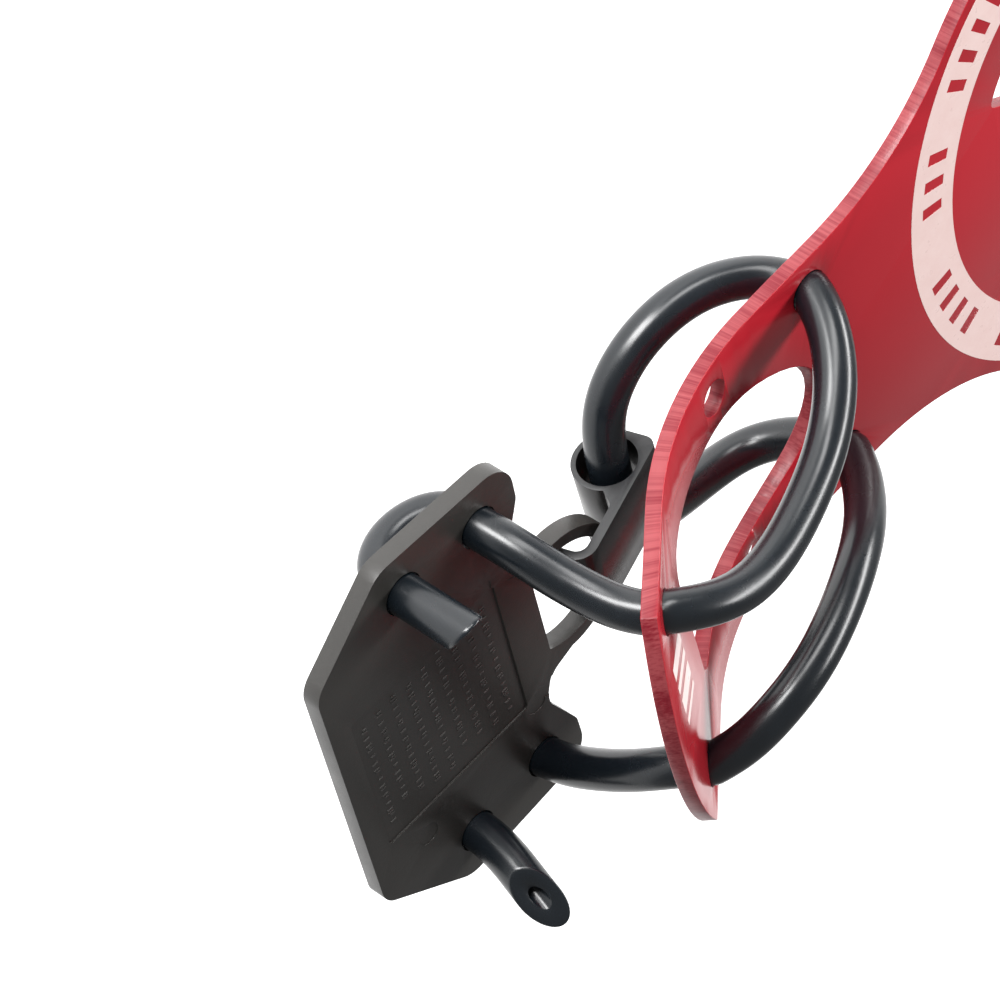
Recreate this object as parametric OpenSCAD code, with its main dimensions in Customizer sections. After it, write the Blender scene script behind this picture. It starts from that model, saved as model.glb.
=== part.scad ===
// Double-ended cord strap carrier: a cut and bent metal plate whose two arms
// are laced with rubber tube, each tube ending in a moulded anchor plate that
// a hook clip holds.
// Origin: centre of the hub, on its flat back face. +X runs along the first
// arm, +Z points out of the plate's front face. The second end is the first
// one turned half a turn about Z.

/* [Plate] */
// Thickness of the metal plate
plate_t = 3; // [2:0.5:3]
// Radius of the round hub
hub_r = 64; // [62:1:68]
// Full width of each arm
arm_w = 64; // [62:1:68]
// Radius of the hollow corner between hub and arm
fillet_r = 56; // [50:1:60]
// Distance from the hub centre to the start of the bend
bend_start = 102.3; // [101.5:0.1:103]
// Radius of the bend, on the front face
bend_r = 64.7; // [64:0.1:66]
// Distance along the bent face from the hub centre to the end of the bend
bend_end = 146.3; // [145.5:0.1:147]
// How far the arm's end edge bows outwards
end_bow = 9; // [6:1:12]
// Length along the bent face from the hub centre to the arm's end corners
arm_len = 170; // [169:0.5:172]

/* [Holes] */
// Diameter of the tube holes in the plate
lace_hole_d = 8.4; // [8.2:0.1:9]
// Diameter of the spare holes in the arms
spare_hole_d = 7.2; // [6:0.1:7.6]
// Distance of every arm hole from the arm's centre line
hole_y = 24; // [23.5:0.1:24.5]
// Half-width of the window in each arm
window_half_w = 17; // [15:0.5:18]
// Inner radius of the hub's two curved windows
hub_window_in_r = 20; // [16:1:24]
// Outer radius of the hub's two curved windows
hub_window_out_r = 42; // [36:1:44]

/* [Tube] */
// Outer diameter of the rubber tube
tube_d = 8; // [7:0.5:8]

/* [Anchor] */
// Thickness of the anchor plate
anchor_t = 3.8; // [3:0.2:4]
// Diameter of the tube holes in the anchor plate
anchor_hole_d = 8.6; // [8.2:0.1:9]
// Outer radius of the nose ring
nose_r = 14.4; // [14:0.1:14.6]
// Radius of the eye in the nose ring
eye_r = 11.7; // [11.5:0.1:12]

/* [Hook] */
// Length of the hook clip across the arm
hook_w = 16.5; // [12:0.5:17]
// Radius of the hook clip's sleeve bore
sleeve_r = 5.8; // [5.5:0.1:5.9]
// Thickness of the strap that carries the hook
strap_t = 1.9; // [1.6:0.1:2]

/* [Hidden] */
$fn = 64;

// Overshoot of every cutter past the faces it cuts
over = 1;
// Points on each rounded corner of a polygon
corner_steps = 8;

// Plate: stations along the arm, measured along its front face
lace_near_x = 87.4;
spare_s = 115.8;
lace_far_s = 163.1;
window_from = 91.5;
window_to = 149;
window_dome = 27;
window_corner_r = 4.5;
window_steps = 24;
// Where the window's cutter stands square to the face, and its reach each way
window_cut_s = 128.25;
window_reach = 12;
hub_flat_x = 84;
hub_steps = 24;
fillet_steps = 16;
bend_steps = 28;
end_sides = 180;
hub_window_half_angle = 57;
hub_window_corner_r = 1.5;
hub_window_in_steps = 10;
hub_window_out_steps = 20;
arm_half = arm_w / 2;
bend_z = plate_t + bend_r;

// Anchor: its outline and holes as laid straight, then its place
anchor_z = -6;
anchor_offset_y = 1.8;
anchor_yaw = -2;
nose_x = 152.4;
eye_flat_x = 158.7;
panel_from = 167;
panel_to = 204.5;
panel_half_w = 18.5;
panel_corner_r = 1;
near_hole = [166.5, 34.8];
far_hole = [185.6, 36.4];
panel_depth = 0.4;
mark_depth = 0.15;
mark_r = 2.4;
marks = [[161.8, 18], [165, 19.5], [169.8, -19.5], [161.8, -18], [196, 25]];

// Hook clip: its axis, and its profile, whose first axis runs along the strap
hook_x = 129.8;
hook_z = -13;
hook_tilt = -15.6;
sleeve_wall = 1;
sleeve_out_r = sleeve_r + sleeve_wall;
strap_out = sleeve_out_r + 0.1;
strap_top = -7.4;
strap_corner_r = 2.4;
curl_x = 18.2;
curl_r = 4.1;
tip_drop = 5.6;
tip_r = 1.2;
// The catch on the tip: how far it stands in, where it ends, where its ramp ends
catch_w = 0.8;
catch_r = 0.8;
catch_top = 1.6;
catch_ramp = 2.6;
soft_r = 0.6;
web_x = 8.8;
web_r = 1.5;
// Where the web's edge leaves the sleeve
web_foot = [0.9 * sleeve_out_r, 2];

// Rubber tube: radius, sides, and rings between two points of a route
tube_r = tube_d / 2;
tube_sides = 12;
steps = 2;

// Routes of the tube's stretches at the first end, in millimetres.
// A left stretch lies at negative Y, a right one at positive Y.
back_route = [
    [87.4, -24, 1.5], [87.4, -24, -0.5], [87.4, -24, -2.4], [88.5, -24.5, -5],
    [95, -27, -9.5], [105, -29, -12.5], [117, -26, -14.5], [126, -19.5, -14.5],
    [129, -12, -13.5], [129.8, -6, -13], [129.8, 6, -13], [128.5, 12, -13.5],
    [121, 19.5, -15], [108, 25.5, -17], [96, 27.5, -16], [90.5, 26, -10],
    [88, 24.5, -5], [87.4, 24, -2.4], [87.4, 24, -0.5], [87.4, 24, 1.5]];
front_left_route = [
    [87.4, -24, 1.6], [87.5, -24, 5], [91, -22.5, 10.5], [98, -19.5, 17.5],
    [108, -15.5, 23], [120, -14.5, 27.5], [132, -15, 31], [142, -17.5, 32.5],
    [150, -21.5, 31.5], [156, -24, 28], [157, -24, 26.7], [158.1, -24, 25.4]];
front_right_route = [
    [87.4, 24, 1.6], [87.5, 24, 5], [92, 22.5, 11], [100, 19, 19],
    [110, 15.5, 26], [122, 14.5, 31.5], [134, 15.5, 34.5], [144, 18, 34],
    [151, 22, 31.5], [156, 24, 28], [157, 24, 26.7], [158.1, 24, 25.4]];
run_left_route = [
    [158.6, -24, 24.8], [159.5, -24, 23.5], [161, -25, 18.5], [163, -28, 10],
    [164.5, -32, 2], [165.2, -33.5, -3.5], [165.3, -33.5, -6.1]];
run_right_route = [
    [158.6, 24, 24.8], [159.5, 24, 23.5], [162, 25.5, 19.5], [164.5, 29, 12.5],
    [166.5, 33, 4], [167.5, 36, -3.5], [167.7, 36.1, -6.1]];
// How far the tube's turn stands out behind the anchor
loop_depth = 7;
loop_turns = 8;
// Tails above the anchor, in the anchor's own straight layout
left_tail = [[185.6, -36.4, -3.5], [185.7, -36.6, 9]];
right_tail = [[185.6, 36.4, -3.5], [186.6, 37.2, 3], [188.8, 39.2, 12]];
// Slants of the tails' cut ends
left_cut = [0, -0.75, 0];
right_cut = [-0.57, 1.3, 0];

// ---- plane geometry ----

function unit(v) = v / norm(v);

// Points round one corner p, between neighbours a and b, rounded to radius r
function corner(a, p, b, r) =
    let (u = unit(a - p), v = unit(b - p),
         half = acos(max(-1, min(1, u * v))) / 2,
         reach = r / tan(half),
         centre = p + unit(u + v) * r / sin(half),
         from = p + u * reach - centre,
         to = p + v * reach - centre,
         turn = 180 - 2 * half,
         sense = sign(from.x * to.y - from.y * to.x))
    r == 0 ? [p] :
    [for (k = [0:corner_steps])
        let (g = sense * turn * k / corner_steps)
        centre + [from.x * cos(g) - from.y * sin(g), from.x * sin(g) + from.y * cos(g)]];

// Closed outline through points [x, y, radius], with its corners rounded
function rounded(p) =
    let (n = len(p))
    [for (i = [0:n - 1])
        let (a = p[(i + n - 1) % n], b = p[(i + 1) % n])
        each corner([a.x, a.y], [p[i].x, p[i].y], [b.x, b.y], p[i].z)];

// Points of an outline with its half at positive Y given, then mirrored
function mirrored(half) = concat(half, [for (i = [len(half) - 1:-1:0]) [half[i].x, -half[i].y, half[i].z]]);

// ---- places on the bent arm ----

// Slope of the arm at distance s along its front face
function slope(s) = (min(max(s, bend_start), bend_end) - bend_start) / bend_r * 180 / PI;

// Point at distance s along the arm, depth below the front face, as [x, z]
function arm_point(s, depth = 0) =
    let (a = slope(s), before = min(s - bend_start, 0), after = max(s - bend_end, 0))
    [bend_start + before + (bend_r + depth) * sin(a) + after * cos(a),
     bend_z - (bend_r + depth) * cos(a) + after * sin(a)];

// Puts children on the front face at distance s along the arm, with +Z
// along the face's outward direction
module on_arm(s, y = 0) {
    p = arm_point(s);
    translate([p.x, y, p.y])
        rotate([0, -slope(s), 0])
            children();
}

// Drill through the plate, on the face at the current place
module drill(d) {
    translate([0, 0, -plate_t - over])
        cylinder(d = d, h = plate_t + 2 * over);
}

// Second end of the object
module turned() {
    rotate([0, 0, 180])
        children();
}

// ---- swept tube ----

function spline(a, b, c, d, t) =
    0.5 * (2 * b + (c - a) * t + (2 * a - 5 * b + 4 * c - d) * t * t
           + (3 * b - a - 3 * c + d) * t * t * t);

function smooth(p, n) =
    let (last = len(p) - 1)
    [for (i = [0:last - 1], k = [0:n - 1])
        spline(p[max(i - 1, 0)], p[i], p[i + 1], p[min(i + 2, last)], k / n),
     p[last]];

function along(p, i) = unit(p[min(i + 1, len(p) - 1)] - p[max(i - 1, 0)]);

// Tube along path p. side is a direction that p never runs along, and cut
// slants the last face by its own length per unit of reach
module sweep(p, side, cut = [0, 0, 0]) {
    n = len(p);
    points = [for (i = [0:n - 1])
        let (t = along(p, i), u = unit(cross(side, t)), v = cross(t, u))
        for (k = [0:tube_sides - 1])
            let (reach = tube_r * (u * cos(360 * k / tube_sides) + v * sin(360 * k / tube_sides)))
            p[i] + reach + (i == n - 1 ? t * (reach * cut) : [0, 0, 0])];
    walls = [for (i = [0:n - 2], k = [0:tube_sides - 1])
        let (a = i * tube_sides + k, b = i * tube_sides + (k + 1) % tube_sides)
        each [[a, b, b + tube_sides], [a, b + tube_sides, a + tube_sides]]];
    first = [[for (k = [tube_sides - 1:-1:0]) k]];
    last = [[for (k = [0:tube_sides - 1]) (n - 1) * tube_sides + k]];
    polyhedron(points, concat(walls, first, last));
}

// ---- plate ----

// Quarter of the hub's outline: hub arc, hollow corner, then the arm's side
function hub_quarter() =
    let (fillet_y = arm_half + fillet_r,
         fillet_x = sqrt(pow(hub_r + fillet_r, 2) - pow(fillet_y, 2)),
         g = atan2(fillet_y, fillet_x))
    concat([[hub_flat_x, arm_half]],
           [for (k = [0:fillet_steps])
               let (h = 270 - (90 - g) * k / fillet_steps)
               [fillet_x + fillet_r * cos(h), fillet_y + fillet_r * sin(h)]],
           [for (k = [1:hub_steps])
               let (h = g + (90 - g) * k / hub_steps)
               [hub_r * cos(h), hub_r * sin(h)]]);

module hub_outline() {
    quarter = hub_quarter();
    last = len(quarter) - 1;
    half = concat(quarter, [for (i = [last - 1:-1:0]) [-quarter[i].x, quarter[i].y]]);
    polygon(concat(half, [for (i = [len(half) - 1:-1:0]) [half[i].x, -half[i].y]]));
}

// Points on an arc about the hub centre, with both its end corners rounded
function hub_arc(r, from, to, n) =
    [for (k = [0:n])
        let (g = from + (to - from) * k / n)
        [r * cos(g), r * sin(g), (k == 0 || k == n) ? hub_window_corner_r : 0]];

// Curved window in the hub, as a ring sector with rounded corners
module hub_window() {
    low = 90 - hub_window_half_angle;
    high = 90 + hub_window_half_angle;
    polygon(rounded(concat(hub_arc(hub_window_in_r, low, high, hub_window_in_steps),
                           hub_arc(hub_window_out_r, high, low, hub_window_out_steps))));
}

// Flat, bent and sloping part of one arm, with its end still square
module arm_strip() {
    stations = concat([hub_flat_x - over],
                      [for (k = [0:bend_steps]) bend_start + (bend_end - bend_start) * k / bend_steps],
                      [arm_len + 2 * end_bow]);
    last = len(stations) - 1;
    rotate([90, 0, 0])
        linear_extrude(arm_w, center = true)
            polygon(concat([for (s = stations) arm_point(s, plate_t)],
                           [for (i = [last:-1:0]) arm_point(stations[i])]));
}

// Cutter that leaves the arm's end edge as a shallow arc
module end_cutter() {
    bow_r = (arm_half * arm_half + end_bow * end_bow) / (2 * end_bow);
    reach = 3 * end_bow;
    on_arm(arm_len)
        difference() {
            translate([-over, -arm_w, -reach / 2])
                cube([reach, 2 * arm_w, reach]);
            translate([end_bow - bow_r, 0, -reach])
                cylinder(r = bow_r, h = 2 * reach, $fn = end_sides);
        }
}

// Window in the arm: a long dome at the hub side, a straight end at the other
module window_cutter() {
    dome_x = window_from + window_dome - window_cut_s;
    end_x = window_to - window_cut_s;
    dome = [for (k = [0:window_steps])
        let (g = 90 + 180 * k / window_steps)
        [dome_x + window_dome * cos(g), window_half_w * sin(g), 0]];
    straight = [[end_x, -window_half_w, window_corner_r],
                [end_x, window_half_w, window_corner_r]];
    on_arm(window_cut_s)
        translate([0, 0, -window_reach])
            linear_extrude(2 * window_reach)
                polygon(rounded(concat(dome, straight)));
}

module arm_holes() {
    for (sy = [-1, 1]) {
        translate([lace_near_x, sy * hole_y, plate_t])
            drill(lace_hole_d);
        on_arm(spare_s, sy * hole_y)
            drill(spare_hole_d);
        on_arm(lace_far_s, sy * hole_y)
            drill(lace_hole_d);
    }
}

module plate() {
    color("firebrick")
        difference() {
            union() {
                linear_extrude(plate_t)
                    hub_outline();
                arm_strip();
                turned()
                    arm_strip();
            }
            translate([0, 0, -over])
                linear_extrude(plate_t + 2 * over) {
                    hub_window();
                    turned()
                        hub_window();
                }
            for (end = [0, 180])
                rotate([0, 0, end]) {
                    end_cutter();
                    window_cutter();
                    arm_holes();
                }
        }
}

// ---- tube stretches held by the plate ----

module tube_back() {
    color("darkslategray")
        sweep(smooth(back_route, steps), [0, 1, 1]);
}

module tube_front(route) {
    color("darkslategray")
        sweep(smooth(route, steps), [0, 1, 0]);
}

// ---- hook clip ----

// Side of the clip's web, strap and hook
module hook_profile() {
    strap_in = strap_out - strap_t;
    tip_x = curl_x + curl_r;
    tip_y = strap_out - curl_r - tip_drop;
    tip_in = tip_x - strap_t;
    polygon(rounded([
        [strap_top, 0, 0], [strap_top, strap_out, strap_corner_r],
        [tip_x, strap_out, curl_r], [tip_x, tip_y, tip_r],
        [tip_in - catch_w, tip_y, catch_r], [tip_in - catch_w, tip_y + catch_top, soft_r],
        [tip_in, tip_y + catch_ramp, soft_r], [tip_in, strap_in, curl_r - strap_t],
        [web_x, strap_in, web_r], [web_foot.x, web_foot.y, soft_r], [0, 0, 0]]));
}

module hook() {
    color("dimgray")
        translate([hook_x, 0, hook_z])
            rotate([0, hook_tilt, 0])
                rotate([90, 0, 0])
                    difference() {
                        union() {
                            cylinder(r = sleeve_out_r, h = hook_w, center = true);
                            linear_extrude(hook_w, center = true)
                                hook_profile();
                        }
                        cylinder(r = sleeve_r, h = hook_w + 2 * over, center = true);
                    }
}

// ---- anchor plate ----

function anchor_outline() = rounded(mirrored([
    [209.4, 31.4, 5.6], [189.5, 46.2, 6.5], [156.6, 43.9, 6.5], [157, 33.3, 3.7],
    [162.3, 22.2, 4.6], [159.9, 16.2, 4.6], [nose_x, 14, 0]]));

module anchor_face() {
    difference() {
        union() {
            polygon(anchor_outline());
            translate([nose_x, 0])
                circle(nose_r);
        }
        intersection() {
            translate([nose_x, 0])
                circle(eye_r);
            translate([nose_x - 2 * eye_r, -eye_r])
                square([eye_flat_x - nose_x + 2 * eye_r, 2 * eye_r]);
        }
    }
}

// Shallow recess that carries the moulded lines on the front face
module anchor_panel() {
    linear_extrude(panel_depth + over)
        polygon(rounded([[panel_from, -panel_half_w, panel_corner_r],
                         [panel_from, panel_half_w, panel_corner_r],
                         [panel_to, panel_half_w, panel_corner_r],
                         [panel_to, -panel_half_w, panel_corner_r]]));
}

// Puts children laid out straight where the anchor really lies
module on_anchor() {
    translate([nose_x, anchor_offset_y, 0])
        rotate([0, 0, anchor_yaw])
            translate([-nose_x, 0, 0])
                children();
}

module anchor() {
    color([0.2, 0.2, 0.2])
        on_anchor() translate([0, 0, anchor_z - anchor_t])
            difference() {
                linear_extrude(anchor_t)
                    anchor_face();
                translate([0, 0, anchor_t - panel_depth])
                    anchor_panel();
                for (p = [near_hole, far_hole], sy = [-1, 1])
                    translate([p.x, sy * p.y, -over])
                        cylinder(d = anchor_hole_d, h = anchor_t + 2 * over);
                for (p = marks)
                    translate([p.x, p.y, anchor_t - mark_depth])
                        cylinder(r = mark_r, h = over);
            }
}

// ---- tube stretches carried by the anchor ----

module tube_run(route) {
    color("darkslategray")
        sweep(smooth(route, steps), [0, 1, 0]);
}

// Down through the near hole, round behind the anchor and up the far hole
function loop_route(y) =
    let (mid = (near_hole.x + far_hole.x) / 2, r = (far_hole.x - near_hole.x) / 2,
         low = anchor_z - anchor_t)
    concat([[near_hole.x, y, anchor_z]],
           [for (k = [0:loop_turns])
               let (g = 180 + 180 * k / loop_turns)
               [mid + r * cos(g), y, low + loop_depth * sin(g)]]);

module tube_end(y, tail, cut) {
    drift = tail[0].y - y;
    loop = loop_route(y);
    lean = [for (i = [0:len(loop) - 1])
        loop[i] + [0, drift * i / (len(loop) - 1), 0]];
    color("darkslategray")
        on_anchor()
            sweep(smooth(concat(lean, tail), 1), [0, 1, 0], cut);
}

plate();
tube_back();  // tube_back_a
tube_front(front_left_route);  // tube_front_left_a
tube_front(front_right_route);  // tube_front_right_a
hook();  // hook_a
anchor();  // anchor_a
tube_run(run_left_route);  // tube_run_left_a
tube_run(run_right_route);  // tube_run_right_a
tube_end(-near_hole.y, left_tail, left_cut);  // tube_end_left_a
tube_end(near_hole.y, right_tail, right_cut);  // tube_end_right_a
turned() tube_back();  // tube_back_b
turned() tube_front(front_left_route);  // tube_front_left_b
turned() tube_front(front_right_route);  // tube_front_right_b
turned() hook();  // hook_b
turned() anchor();  // anchor_b
turned() tube_run(run_left_route);  // tube_run_left_b
turned() tube_run(run_right_route);  // tube_run_right_b
turned() tube_end(-near_hole.y, left_tail, left_cut);  // tube_end_left_b
turned() tube_end(near_hole.y, right_tail, right_cut);  // tube_end_right_b
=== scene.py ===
import math

import bpy
import numpy as np
from mathutils import Matrix, Vector


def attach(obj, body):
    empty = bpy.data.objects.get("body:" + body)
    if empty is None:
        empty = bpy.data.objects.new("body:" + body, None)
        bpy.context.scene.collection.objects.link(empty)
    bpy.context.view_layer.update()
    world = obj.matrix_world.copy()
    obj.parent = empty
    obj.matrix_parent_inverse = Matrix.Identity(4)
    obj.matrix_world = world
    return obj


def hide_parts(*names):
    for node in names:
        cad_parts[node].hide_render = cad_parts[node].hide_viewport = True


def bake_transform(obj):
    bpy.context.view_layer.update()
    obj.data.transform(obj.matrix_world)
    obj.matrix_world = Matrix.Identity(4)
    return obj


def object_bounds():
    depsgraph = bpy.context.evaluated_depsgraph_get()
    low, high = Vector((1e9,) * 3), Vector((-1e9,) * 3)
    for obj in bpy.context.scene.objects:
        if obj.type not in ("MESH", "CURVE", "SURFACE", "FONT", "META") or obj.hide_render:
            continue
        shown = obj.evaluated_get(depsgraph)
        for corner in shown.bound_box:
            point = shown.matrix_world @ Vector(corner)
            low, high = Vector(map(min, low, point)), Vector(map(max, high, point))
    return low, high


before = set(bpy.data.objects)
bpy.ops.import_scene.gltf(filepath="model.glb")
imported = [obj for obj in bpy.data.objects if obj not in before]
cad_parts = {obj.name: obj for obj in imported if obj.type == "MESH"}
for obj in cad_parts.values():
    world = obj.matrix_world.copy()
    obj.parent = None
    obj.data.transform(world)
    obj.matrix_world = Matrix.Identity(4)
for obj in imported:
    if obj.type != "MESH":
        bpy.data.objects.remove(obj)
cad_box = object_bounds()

MM = 0.001
ENDS = ("a", "b")

# ---- sizes repeated from the CAD model, in millimetres ----

PLATE_T = 3.0
BEND_START = 102.3
BEND_R = 64.7
BEND_END = 146.3
BEND_Z = PLATE_T + BEND_R
BEND_ANGLE = (BEND_END - BEND_START) / BEND_R
LACE_NEAR_X = 87.4
HOLE_Y = 24.0
TUBE_R = 4.0
BORE_R = 1.5
ANCHOR_Z = -6.0
ANCHOR_T = 3.8
ANCHOR_OFFSET_Y = 1.8
ANCHOR_YAW = math.radians(-2)
NOSE_X = 152.4
NEAR_HOLE = (166.5, 34.8)
FAR_HOLE = (185.6, 36.4)
PANEL_DEPTH = 0.4
LOOP_DEPTH = 7.0
LOOP_TURNS = 8

# ---- sizes that only the visual pieces have, in millimetres ----

PRINT_T = 0.04
PLATE_EDGE = 0.18
ANCHOR_EDGE = 0.7
HOOK_EDGE = 0.14
# Route points this near a hole's centre stay where they are
PIN_REACH = 2.6

# Routes of the tube at the first end, as in the CAD model. The left side is at negative Y.
BACK_ROUTE = [
    (87.4, -24, 1.5), (87.4, -24, -0.5), (87.4, -24, -2.4), (88.5, -24.5, -5),
    (95, -27, -9.5), (105, -29, -12.5), (117, -26, -14.5), (126, -19.5, -14.5),
    (129, -12, -13.5), (129.8, -6, -13), (129.8, 6, -13), (128.5, 12, -13.5),
    (121, 19.5, -15), (108, 25.5, -17), (96, 27.5, -16), (90.5, 26, -10),
    (88, 24.5, -5), (87.4, 24, -2.4), (87.4, 24, -0.5), (87.4, 24, 1.5)]
FRONT_LEFT_ROUTE = [
    (87.4, -24, 1.6), (87.5, -24, 5), (91, -22.5, 10.5), (98, -19.5, 17.5),
    (108, -15.5, 23), (120, -14.5, 27.5), (132, -15, 31), (142, -17.5, 32.5),
    (150, -21.5, 31.5), (156, -24, 28), (157, -24, 26.7), (158.1, -24, 25.4)]
FRONT_RIGHT_ROUTE = [
    (87.4, 24, 1.6), (87.5, 24, 5), (92, 22.5, 11), (100, 19, 19),
    (110, 15.5, 26), (122, 14.5, 31.5), (134, 15.5, 34.5), (144, 18, 34),
    (151, 22, 31.5), (156, 24, 28), (157, 24, 26.7), (158.1, 24, 25.4)]
# Where the runs' skins start inside the front loops, on the left side
PLATE_SEAM = (157.0, -HOLE_Y, 26.7)
RUN_LEFT = [
    (158.6, -24, 24.8), (159.5, -24, 23.5), (161, -25, 18.5), (163, -28, 10),
    (164.5, -32, 2), (165.2, -33.5, -3.5), (165.3, -33.5, -6.1)]
RUN_RIGHT = [
    (158.6, 24, 24.8), (159.5, 24, 23.5), (162, 25.5, 19.5), (164.5, 29, 12.5),
    (166.5, 33, 4), (167.5, 36, -3.5), (167.7, 36.1, -6.1)]
TAIL_LEFT = [(185.6, -36.4, -3.5), (185.7, -36.6, 9)]
TAIL_RIGHT = [(185.6, 36.4, -3.5), (186.6, 37.2, 3), (188.8, 39.2, 12)]
# Slants of the tails' cut ends
CUT_LEFT = (0, -0.75, 0)
CUT_RIGHT = (-0.57, 1.3, 0)

# ---- places and sizes of the camera, floor and light ----

# Camera in millimetres: where it stands, the point it looks at, and its turn about its line of sight
CAMERA_AT = (459, -720, 450)
CAMERA_LOOK = (151, -16, -18.5)
CAMERA_ROLL = math.radians(121.6)
LENS_MM = 180
# Floor and light in metres
FLOOR_DROP = 0.30
FLOOR_HALF = 30.0
LIGHT_TARGET = (0.14, 0, 0.005)


# ---- shader helpers ----

class Shader:
    """A new material with its Principled shader, and short calls that add nodes."""

    def __init__(self, name, **constants):
        self.material = bpy.data.materials.new(name)
        self.material.use_nodes = True
        self.tree = self.material.node_tree
        self.principled = self.tree.nodes["Principled BSDF"]
        for socket, value in constants.items():
            self.principled.inputs[socket.replace("_", " ")].default_value = value

    def node(self, kind, values=None, **settings):
        made = self.tree.nodes.new(kind)
        for key, value in settings.items():
            setattr(made, key, value)
        for socket, value in (values or {}).items():
            if isinstance(value, bpy.types.NodeSocket):
                self.tree.links.new(value, made.inputs[socket])
            else:
                made.inputs[socket].default_value = value
        return made

    def math(self, operation, *values, clamp=False):
        made = self.node("ShaderNodeMath", dict(enumerate(values)), operation=operation)
        made.use_clamp = clamp
        return made.outputs[0]

    def ramp(self, value, low, high, to_low=0.0, to_high=1.0):
        made = self.node("ShaderNodeMapRange", {"Value": value, "From Min": low, "From Max": high,
                                                "To Min": to_low, "To Max": to_high})
        return made.outputs["Result"]

    def spread(self, value, low, high):
        """The middle of a noise, mapped to a range."""
        return self.ramp(value, 0.3, 0.7, low, high)

    def mix(self, factor, a, b):
        made = self.node("ShaderNodeMix", data_type="RGBA")
        for socket, value in ((0, factor), (6, a), (7, b)):
            if isinstance(value, bpy.types.NodeSocket):
                self.tree.links.new(value, made.inputs[socket])
            else:
                made.inputs[socket].default_value = value
        return made.outputs[2]

    def place(self):
        return self.node("ShaderNodeTexCoord").outputs["Object"]

    def noise(self, scale, detail=3.0, roughness=0.5, vector=None, stretch=None):
        vector = vector or self.place()
        if stretch:
            vector = self.node("ShaderNodeMapping", {"Vector": vector, "Scale": stretch}).outputs[0]
        made = self.node("ShaderNodeTexNoise", {"Vector": vector, "Scale": scale,
                                                "Detail": detail, "Roughness": roughness})
        return made.outputs["Fac"]

    def drive(self, socket, value):
        self.tree.links.new(value, self.principled.inputs[socket])

    def bump(self, height, strength, distance):
        made = self.node("ShaderNodeBump", {"Height": height, "Strength": strength,
                                            "Distance": distance})
        self.tree.links.new(made.outputs[0], self.principled.inputs["Normal"])


def plate_material():
    """Glossy red coat, with paler, finely striped cut edges."""
    s = Shader("red_coat", Coat_Weight=0.05, Coat_Roughness=0.08, Specular_IOR_Level=0.32)
    x, y, z = s.node("ShaderNodeSeparateXYZ", {0: s.place()}).outputs
    past_bend = s.math("MAXIMUM", s.math("SUBTRACT", s.math("ABSOLUTE", x), BEND_START * MM), 0.0)
    angle = s.math("ARCTAN2", past_bend, s.math("SUBTRACT", BEND_Z * MM, z))
    slope = s.math("MINIMUM", angle, BEND_ANGLE)
    normal = s.node("ShaderNodeNewGeometry").outputs["Normal"]
    nx, _, nz = s.node("ShaderNodeSeparateXYZ", {0: normal}).outputs
    outward = s.math("SUBTRACT", s.math("MULTIPLY", nz, s.math("COSINE", slope)),
                     s.math("MULTIPLY", s.math("MULTIPLY", nx, s.math("SIGN", x)),
                            s.math("SINE", slope)))
    wall = s.ramp(s.math("ABSOLUTE", outward), 0.75, 0.35)
    along = s.math("ADD", s.math("MULTIPLY", angle, BEND_R * MM),
                   s.math("MULTIPLY", s.math("LESS_THAN", past_bend, 1e-6), x))
    trace = s.node("ShaderNodeCombineXYZ", {0: along, 1: y, 2: 0.0}).outputs[0]
    stripes = s.noise(2200, 2.0, 0.6, vector=trace)
    bands = s.noise(110, 4.0, 0.7, vector=trace)
    cloud = s.noise(35, 4.0)
    face = s.mix(cloud, (0.34, 0.011, 0.019, 1), (0.39, 0.014, 0.024, 1))
    edge = s.mix(s.ramp(s.math("ADD", stripes, s.math("MULTIPLY", bands, 1.6)), 1.12, 1.5),
                 (0.16, 0.004, 0.012, 1), (0.27, 0.045, 0.052, 1))
    s.drive("Base Color", s.mix(wall, face, edge))
    rough = s.math("ADD", s.spread(s.noise(60, 4.0), 0.21, 0.27),
                   s.math("MULTIPLY", wall, 0.16))
    s.drive("Roughness", rough)
    s.bump(s.math("ADD", s.math("MULTIPLY", s.math("MULTIPLY", stripes, wall), 0.7),
                  s.math("MULTIPLY", s.noise(900, 2.0), 0.02)), 0.2, 0.0001)
    return s.material


def print_material():
    """Pale print, a little uneven."""
    s = Shader("pale_print", Coat_Weight=0.3, Coat_Roughness=0.1)
    cloud = s.noise(220, 5.0, 0.7)
    s.drive("Base Color", s.mix(cloud, (0.74, 0.52, 0.49, 1), (0.84, 0.66, 0.63, 1)))
    s.drive("Roughness", s.spread(s.noise(500, 3.0), 0.26, 0.4))
    s.bump(s.noise(2500, 2.0), 0.1, 0.0001)
    return s.material


def tube_material():
    """Smooth extruded rubber, faintly dusty."""
    s = Shader("black_rubber", Specular_IOR_Level=0.55)
    dust = s.ramp(s.noise(45, 6.0, 0.65), 0.45, 0.8)
    s.drive("Base Color", s.mix(dust, (0.0035, 0.0056, 0.008, 1), (0.007, 0.010, 0.0135, 1)))
    s.drive("Roughness", s.spread(s.noise(130, 4.0), 0.24, 0.29))
    s.bump(s.noise(1500, 3.0), 0.04, 0.0001)
    return s.material


def anchor_material():
    """Satin moulded plastic with a fine spark-eroded grain."""
    s = Shader("moulded_black", Specular_IOR_Level=0.5)
    cloud = s.noise(30, 4.0)
    s.drive("Base Color", s.mix(cloud, (0.021, 0.020, 0.018, 1), (0.031, 0.029, 0.0265, 1)))
    s.drive("Roughness", s.spread(s.noise(90, 5.0, 0.6), 0.30, 0.40))
    s.bump(s.math("ADD", s.noise(2600, 3.0, 0.6), s.math("MULTIPLY", s.noise(300, 3.0), 0.6)),
           0.16, 0.0002)
    return s.material


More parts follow.
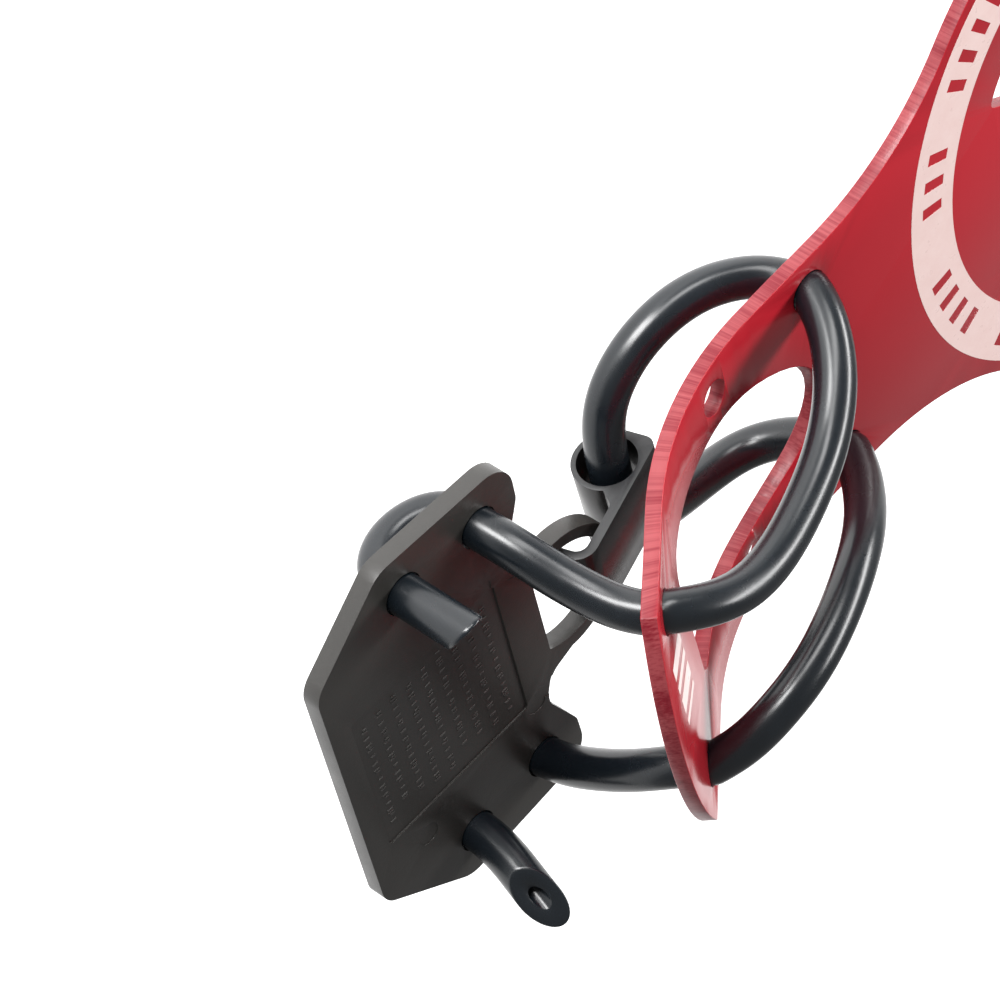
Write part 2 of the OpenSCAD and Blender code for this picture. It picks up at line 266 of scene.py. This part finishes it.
def moulded_line_sheen_material():
    """The raised moulded lines: the same plastic, drawn as a lighter copy whose base colour is painted
    sheen.
    """
    s = Shader("moulded_lines_painted_sheen", Specular_IOR_Level=0.6)
    # Painted sheen: this lighter base colour stands in for light caught by the raised lines, not for a
    # colour of the plastic
    s.drive("Base Color", s.mix(s.noise(700, 3.0), (0.030, 0.029, 0.027, 1), (0.050, 0.047, 0.044, 1)))
    s.drive("Roughness", s.spread(s.noise(400, 3.0), 0.28, 0.4))
    s.bump(s.noise(3000, 2.0), 0.15, 0.0001)
    return s.material


def hook_material():
    """Satin black extrusion: drawn lines along its faces, grainy sawn sides."""
    s = Shader("satin_black", Specular_IOR_Level=0.5)
    place = s.place()
    normal = s.node("ShaderNodeTexCoord").outputs["Normal"]
    side = s.ramp(s.math("ABSOLUTE", s.node("ShaderNodeSeparateXYZ", {0: normal}).outputs[1]),
                  0.6, 0.9)
    drawn = s.noise(900, 2.0, 0.5, vector=place, stretch=(1, 0.03, 1))
    sawn = s.noise(2400, 4.0, 0.7, vector=place)
    colour = s.mix(sawn, (0.006, 0.006, 0.007, 1), (0.024, 0.025, 0.026, 1))
    s.drive("Base Color", s.mix(side, (0.0075, 0.0065, 0.0065, 1), colour))
    s.drive("Roughness", s.math("ADD", s.spread(drawn, 0.24, 0.27),
                                s.math("MULTIPLY", side, 0.2)))
    s.bump(s.math("ADD", s.math("MULTIPLY", sawn, side), s.math("MULTIPLY", drawn, 0.01)),
           0.25, 0.0001)
    return s.material


def floor_material():
    """Pale and a little luminous, so that it reads as white paper."""
    s = Shader("pale_floor", Roughness=0.9, Emission_Color=(1, 1, 1, 1), Emission_Strength=0.8)
    s.drive("Base Color", s.mix(s.noise(4, 2.0), (0.93, 0.93, 0.93, 1), (0.95, 0.95, 0.95, 1)))
    return s.material


# ---- mesh helpers ----

def new_piece(name, vertices, faces, material, smooth=True):
    mesh = bpy.data.meshes.new(name)
    mesh.from_pydata([tuple(v) for v in vertices], [], faces)
    mesh.validate()
    mesh.materials.append(material)
    mesh.polygons.foreach_set("use_smooth", [smooth] * len(mesh.polygons))
    made = bpy.data.objects.new(name, mesh)
    bpy.context.scene.collection.objects.link(made)
    return made


def at_end(points, end):
    """Points of the first end in metres, or turned half a turn for the second."""
    turn = np.array([1, 1, 1]) if end == "a" else np.array([-1, -1, 1])
    return np.asarray(points, float) * turn * MM


def on_anchor(points):
    """Points laid straight on the anchor, moved to where it really lies."""
    p = np.asarray(points, float) - (NOSE_X, 0, 0)
    c, s = math.cos(ANCHOR_YAW), math.sin(ANCHOR_YAW)
    turned = np.stack([p[:, 0] * c - p[:, 1] * s, p[:, 0] * s + p[:, 1] * c, p[:, 2]], 1)
    return turned + (NOSE_X, ANCHOR_OFFSET_Y, 0)


def arm_point(s, y, lift=0.0):
    """Point of the arm's front face at distance s from the hub centre, raised by lift."""
    a = (min(max(s, BEND_START), BEND_END) - BEND_START) / BEND_R
    before, after = min(s - BEND_START, 0), max(s - BEND_END, 0)
    return (BEND_START + before + (BEND_R - lift) * math.sin(a) + after * math.cos(a), y,
            BEND_Z - (BEND_R - lift) * math.cos(a) + after * math.sin(a))


def smooth_route(points, spacing=1.0, passes=40, pins=()):
    """Even steps along a smooth curve near the points; its ends and all near a pin are kept."""
    p = np.asarray(points, float)
    padded = np.vstack([2 * p[0] - p[1], p, 2 * p[-1] - p[-2]])
    dense, steps = [], 16
    for i in range(1, len(padded) - 2):
        a, b, c, d = padded[i - 1:i + 3]
        for t in np.linspace(0, 1, steps, endpoint=False):
            dense.append(0.5 * (2 * b + (c - a) * t + (2 * a - 5 * b + 4 * c - d) * t * t
                                + (3 * b - a - 3 * c + d) * t ** 3))
    dense = np.array(dense + [p[-1]])
    reach = np.concatenate([[0], np.cumsum(np.linalg.norm(np.diff(dense, axis=0), axis=1))])
    stops = np.linspace(0, reach[-1], max(int(reach[-1] / spacing), 4) + 1)
    even = np.stack([np.interp(stops, reach, dense[:, k]) for k in range(3)], 1)
    free = np.ones(len(even), bool)
    free[:3] = free[-3:] = False
    for pin in pins:
        free &= np.linalg.norm(even - pin, axis=1) > PIN_REACH
    for _ in range(passes):
        eased = 0.25 * even[:-2] + 0.5 * even[1:-1] + 0.25 * even[2:]
        even[1:-1][free[1:-1]] = eased[free[1:-1]]
    return even


def rings_along(path, radii, sides):
    """Rings of points round the path, without twist, and the path's directions."""
    tangents = np.gradient(path, axis=0)
    tangents /= np.linalg.norm(tangents, axis=1)[:, None]
    # Any direction that no path starts along
    aside = (0.31, 0.87, 0.39)
    u = np.cross(tangents[0], aside)
    turns = 2 * math.pi * np.arange(sides) / sides
    rings = []
    for point, tangent, radius in zip(path, tangents, radii):
        u = u - tangent * (u @ tangent)
        u /= np.linalg.norm(u)
        v = np.cross(tangent, u)
        rings.append(point + radius * (np.cos(turns)[:, None] * u + np.sin(turns)[:, None] * v))
    return rings, tangents


def skin(rings):
    """Points and faces of a closed skin over rings of points."""
    sides = len(rings[0])
    faces = []
    for i in range(len(rings) - 1):
        for k in range(sides):
            a, b = i * sides + k, i * sides + (k + 1) % sides
            faces.append((a, b, b + sides, a + sides))
    faces.append(tuple(range(sides - 1, -1, -1)))
    faces.append(tuple((len(rings) - 1) * sides + k for k in range(sides)))
    return np.concatenate(rings), faces


def tube_piece(name, path, end, material, sides=40):
    rings, _ = rings_along(path, np.full(len(path), TUBE_R), sides)
    vertices, faces = skin(rings)
    return new_piece(name, at_end(vertices, end), faces, material)


def cut_tube_piece(name, path, end, material, slant, sides=48, bore_depth=14.0, lip=0.2):
    """Tube whose last end is cut on a slant and shows its bore."""
    rings, tangents = rings_along(path, np.full(len(path), TUBE_R), sides)
    tangent, tip = tangents[-1], path[-1]
    around = (rings[-1] - tip) / TUBE_R
    slope = around @ np.asarray(slant, float)

    def cut_ring(radius, depth=0.0):
        return tip + around * radius + tangent * (radius * slope - depth)[:, None]

    from_tip = np.linalg.norm(path - tip, axis=1)
    margin, bands = 2, 9
    clear = int(np.argmax(from_tip < TUBE_R * abs(slope).max() + margin))
    rings, last = rings[:clear], cut_ring(TUBE_R, lip)
    base = rings[-1]
    rings += [base + (last - base) * t for t in np.linspace(0, 1, bands)[1:]]
    bore_end_r = BORE_R * 0.98
    rings += [cut_ring(TUBE_R - lip), cut_ring(BORE_R + lip / 2), cut_ring(BORE_R, lip),
              cut_ring(bore_end_r, bore_depth)]
    vertices, faces = skin(rings)
    return new_piece(name, at_end(vertices, end), faces, material)


def ring_cells(angles, radii, present, place):
    """Thin closed solid made of the present cells between a ring's angles and radii."""
    vertices, index, faces = [], {}, []
    steps, bands = present.shape

    def corner(i, j, top):
        key = (i % steps, j, top)
        if key not in index:
            index[key] = len(vertices)
            vertices.append(place(angles[i % steps], radii[j], top))
        return index[key]

    def wall(a, b):
        faces.append([corner(*a, 0), corner(*b, 0), corner(*b, 1), corner(*a, 1)])

    for i in range(steps):
        for j in range(bands):
            if not present[i, j]:
                continue
            around = [(i, j), (i + 1, j), (i + 1, j + 1), (i, j + 1)]
            faces.append([corner(*c, 1) for c in around])
            faces.append([corner(*c, 0) for c in reversed(around)])
            if j == 0 or not present[i, j - 1]:
                wall(around[0], around[1])
            if not present[(i + 1) % steps, j]:
                wall(around[1], around[2])
            if j == bands - 1 or not present[i, j + 1]:
                wall(around[2], around[3])
            if not present[i - 1, j]:
                wall(around[3], around[0])
    return vertices, faces


def block_faces(base):
    """Faces of a block whose four low corners start at base, its four high ones after them."""
    faces = [(base + k, base + (k + 1) % 4, base + 4 + (k + 1) % 4, base + 4 + k) for k in range(4)]
    faces.append(tuple(base + 4 + k for k in range(4)))
    faces.append(tuple(base + k for k in (3, 2, 1, 0)))
    return faces


def soften(obj, width, segments=2, angle=35):
    """Rounds a CAD node's edges without changing its mesh."""
    weld = obj.modifiers.new("weld", "WELD")
    weld.merge_threshold = 0.000002
    bevel = obj.modifiers.new("edges", "BEVEL")
    bevel.width = width * MM
    bevel.segments = segments
    bevel.limit_method = "ANGLE"
    bevel.angle_limit = math.radians(angle)
    bevel.harden_normals = True
    obj.data.polygons.foreach_set("use_smooth", [True] * len(obj.data.polygons))


def paint(obj, material):
    """Gives a CAD node its material."""
    obj.data.materials.clear()
    obj.data.materials.append(material)


# ---- camera, floor and light ----

def camera_axes():
    """Directions to the camera's right, up, and back from what it looks at."""
    back = (Vector(CAMERA_AT) - Vector(CAMERA_LOOK)).normalized()
    level = Vector((0, 0, 1)).cross(back).normalized()
    right = Matrix.Rotation(CAMERA_ROLL, 3, back) @ level
    return right, back.cross(right), back


def add_camera():
    right, up, back = camera_axes()
    camera = bpy.data.objects.new("camera", bpy.data.cameras.new("camera"))
    camera.data.lens = LENS_MM
    camera.data.sensor_width = 36
    camera.data.clip_end = 100
    camera.matrix_world = Matrix((
        (right.x, up.x, back.x, CAMERA_AT[0] * MM),
        (right.y, up.y, back.y, CAMERA_AT[1] * MM),
        (right.z, up.z, back.z, CAMERA_AT[2] * MM),
        (0, 0, 0, 1)))
    bpy.context.scene.collection.objects.link(camera)
    bpy.context.scene.camera = camera


def add_floor(material):
    z = cad_box[0].z - FLOOR_DROP
    corners = [(x * FLOOR_HALF, y * FLOOR_HALF, z) for x, y in ((-1, -1), (1, -1), (1, 1), (-1, 1))]
    floor = new_piece("floor", corners, [(0, 1, 2, 3)], material, smooth=False)


def add_area(name, at, look, size, power):
    light = bpy.data.lights.new(name, "AREA")
    light.shape = "RECTANGLE"
    light.size, light.size_y = size
    light.energy = power
    made = bpy.data.objects.new(name, light)
    made.location = at
    made.rotation_euler = (Vector(look) - Vector(at)).to_track_quat("-Z", "Y").to_euler()
    bpy.context.scene.collection.objects.link(made)


def add_light():
    """Even white surroundings, and strip lights placed round the camera's line of sight."""
    world = bpy.data.worlds.new("studio")
    world.use_nodes = True
    world.node_tree.nodes["Background"].inputs["Color"].default_value = (1, 1, 1, 1)
    world.node_tree.nodes["Background"].inputs["Strength"].default_value = 0.30
    bpy.context.scene.world = world
    right, up, back = camera_axes()
    target = Vector(LIGHT_TARGET)
    lights = (("key", (-0.70, 0.70, 0.85), (0.40, 1.5), 54),
              ("rim", (1.0, 0.35, 0.15), (0.2, 1.1), 14),
              ("fill", (0.15, 0.9, 0.9), (0.7, 0.3), 7))
    for name, (x, y, z), size, power in lights:
        add_area(name, target + right * x + up * y + back * z, target, size, power)


# ---- pieces ----

def ring_print(name, end, material):
    """Round band printed on the hub, with groups of plain ticks along its middle."""
    inner, outer, border = 49.9, 61.7, 3.2
    steps, tick_pitch, tick_w = 720, 12, 5
    ticks_in_group = (4, 5, 4, 6, 3, 4, 5, 4, 6, 3)
    groups = len(ticks_in_group)
    radii = [inner, inner + border, outer - border, outer]
    angles = 2 * math.pi * np.arange(steps) / steps
    present = np.ones((steps, len(radii) - 1), bool)
    for group, count in enumerate(ticks_in_group):
        middle = group * steps // groups + steps // (2 * groups)
        for k in range(count):
            first = middle + int((k - count / 2) * tick_pitch)
            for i in range(first, first + tick_w):
                present[i % steps, 1] = False

    def place(angle, radius, top):
        return (radius * math.cos(angle), radius * math.sin(angle), PLATE_T + PRINT_T * top)

    vertices, faces = ring_cells(angles, radii, present, place)
    return new_piece(name, at_end(vertices, end), faces, material, smooth=False)


def arm_print(name, end, material):
    """Plain slanted bars printed near the arm's end."""
    near, far, slant = 159.0, 170.0, 3.0
    bars = ((-13, -9.5), (-7.5, -5.5), (-3.5, 0.5), (2.5, 4.0))
    vertices, faces = [], []
    for low, high in bars:
        corners = [(near, low), (near, high), (far, high - slant), (far, low - slant)]
        faces += block_faces(len(vertices))
        for lift in (0.0, PRINT_T):
            vertices += [arm_point(s, y, lift) for s, y in corners]
    return new_piece(name, at_end(vertices, end), faces, material, smooth=False)


def panel_lines(name, end, material):
    """Rows of small raised bars in the anchor's recess, varied by plain remainders."""
    rows, first_x, row_pitch, half_w, stagger = 9, 170.0, 3.9, 15.5, 0.6
    bar_pitch, bar_w, tall, short = 0.75, 0.5, 1.5, 1.15
    height, inset, gap = 0.16, 0.1, 0.9
    groups = [0.72 * w for w in (2.6, 1.4, 3.4, 2.0, 1.1, 2.9, 1.8, 2.3)]
    z = ANCHOR_Z - PANEL_DEPTH
    vertices, faces = [], []
    for row in range(rows):
        x = first_x + row * row_pitch
        y = -half_w + (row % 3) * stagger
        stop = half_w - (row * 5 % 4)
        k = row * 3
        while y < stop:
            width = groups[k % len(groups)]
            for bar in range(max(int(width / bar_pitch), 1)):
                length = tall if (bar * 7 + row * 3 + k) % 3 else short
                x0, x1, y0 = x, x + length, y + bar * bar_pitch
                y1 = y0 + bar_w
                faces += block_faces(len(vertices))
                for grow, level in ((0, z), (-inset, z + height)):
                    vertices += [(x0 - grow, y0 - grow, level), (x1 + grow, y0 - grow, level),
                                 (x1 + grow, y1 + grow, level), (x0 - grow, y1 + grow, level)]
            y += width + gap
            k += 1
    return new_piece(name, at_end(on_anchor(vertices), end), faces, material, smooth=False)


def laced_path():
    """Middle line of the tube from one front loop, round the back, to the other."""
    left = FRONT_LEFT_ROUTE[-2:0:-1]
    right = FRONT_RIGHT_ROUTE[1:-1]
    holes = [(LACE_NEAR_X, side * HOLE_Y, PLATE_T / 2) for side in (-1, 1)]
    return smooth_route(left + BACK_ROUTE + right, pins=holes)


def run_path(route):
    """Middle line of a run, carried on at both ends into the pieces it meets."""
    side = 1 if route[0][1] > 0 else -1
    seam = (PLATE_SEAM[0], side * abs(PLATE_SEAM[1]), PLATE_SEAM[2])
    foot = (route[-1][0], route[-1][1], ANCHOR_Z - ANCHOR_T / 2)
    return smooth_route([seam] + route + [foot], spacing=0.8)


def tail_path(side, tail):
    """Down through the near hole, round behind the anchor and out of the far hole."""
    low = ANCHOR_Z - ANCHOR_T
    mid = (NEAR_HOLE[0] + FAR_HOLE[0]) / 2
    radius = (FAR_HOLE[0] - NEAR_HOLE[0]) / 2
    points = [(NEAR_HOLE[0], 0, ANCHOR_Z - ANCHOR_T / 2)]
    for k in range(LOOP_TURNS + 1):
        g = math.pi + math.pi * k / LOOP_TURNS
        points.append((mid + radius * math.cos(g), 0, low + LOOP_DEPTH * math.sin(g)))
    last = len(points) - 1
    start_y, drift = side * NEAR_HOLE[1], tail[0][1] - side * NEAR_HOLE[1]
    lean = [(x, start_y + drift * i / last, z) for i, (x, _, z) in enumerate(points)]
    return on_anchor(smooth_route(lean + tail, spacing=0.9, passes=8))


def build():
    """Paints the CAD nodes and adds the pieces that only the visual has."""
    red, pale, rubber = plate_material(), print_material(), tube_material()
    moulded, lines, black = anchor_material(), moulded_line_sheen_material(), hook_material()
    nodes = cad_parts
    paint(nodes["plate"], red)
    soften(nodes["plate"], PLATE_EDGE)
    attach(ring_print("hub_print", "a", pale), "frame")
    for end in ENDS:
        paint(nodes["anchor_" + end], moulded)
        soften(nodes["anchor_" + end], ANCHOR_EDGE, segments=5)
        paint(nodes["hook_" + end], black)
        soften(nodes["hook_" + end], HOOK_EDGE)

        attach(arm_print("arm_print_" + end, end, pale), "frame")
        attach(panel_lines("panel_lines_" + end, end, lines), "anchor_" + end)

        laced = tube_piece("tube_laced_" + end, laced_path(), end, rubber)
        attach(laced, "frame")
        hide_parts("tube_back_" + end, "tube_front_left_" + end, "tube_front_right_" + end)
        for side, word, route, tail, slant in (
                (-1, "left", RUN_LEFT, TAIL_LEFT, CUT_LEFT),
                (1, "right", RUN_RIGHT, TAIL_RIGHT, CUT_RIGHT)):
            run = tube_piece(f"tube_run_{word}_visual_{end}", run_path(route), end, rubber)
            start, finish = at_end([route[0], route[-1]], end)
            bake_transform(run)
            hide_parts(f"tube_run_{word}_{end}")
            tip = cut_tube_piece(f"tube_tail_{word}_{end}", tail_path(side, tail), end, rubber, slant)
            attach(tip, "anchor_" + end)
            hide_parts(f"tube_end_{word}_{end}")


add_camera()
build()
add_floor(floor_material())
add_light()
bpy.context.scene.view_settings.view_transform = "Standard"
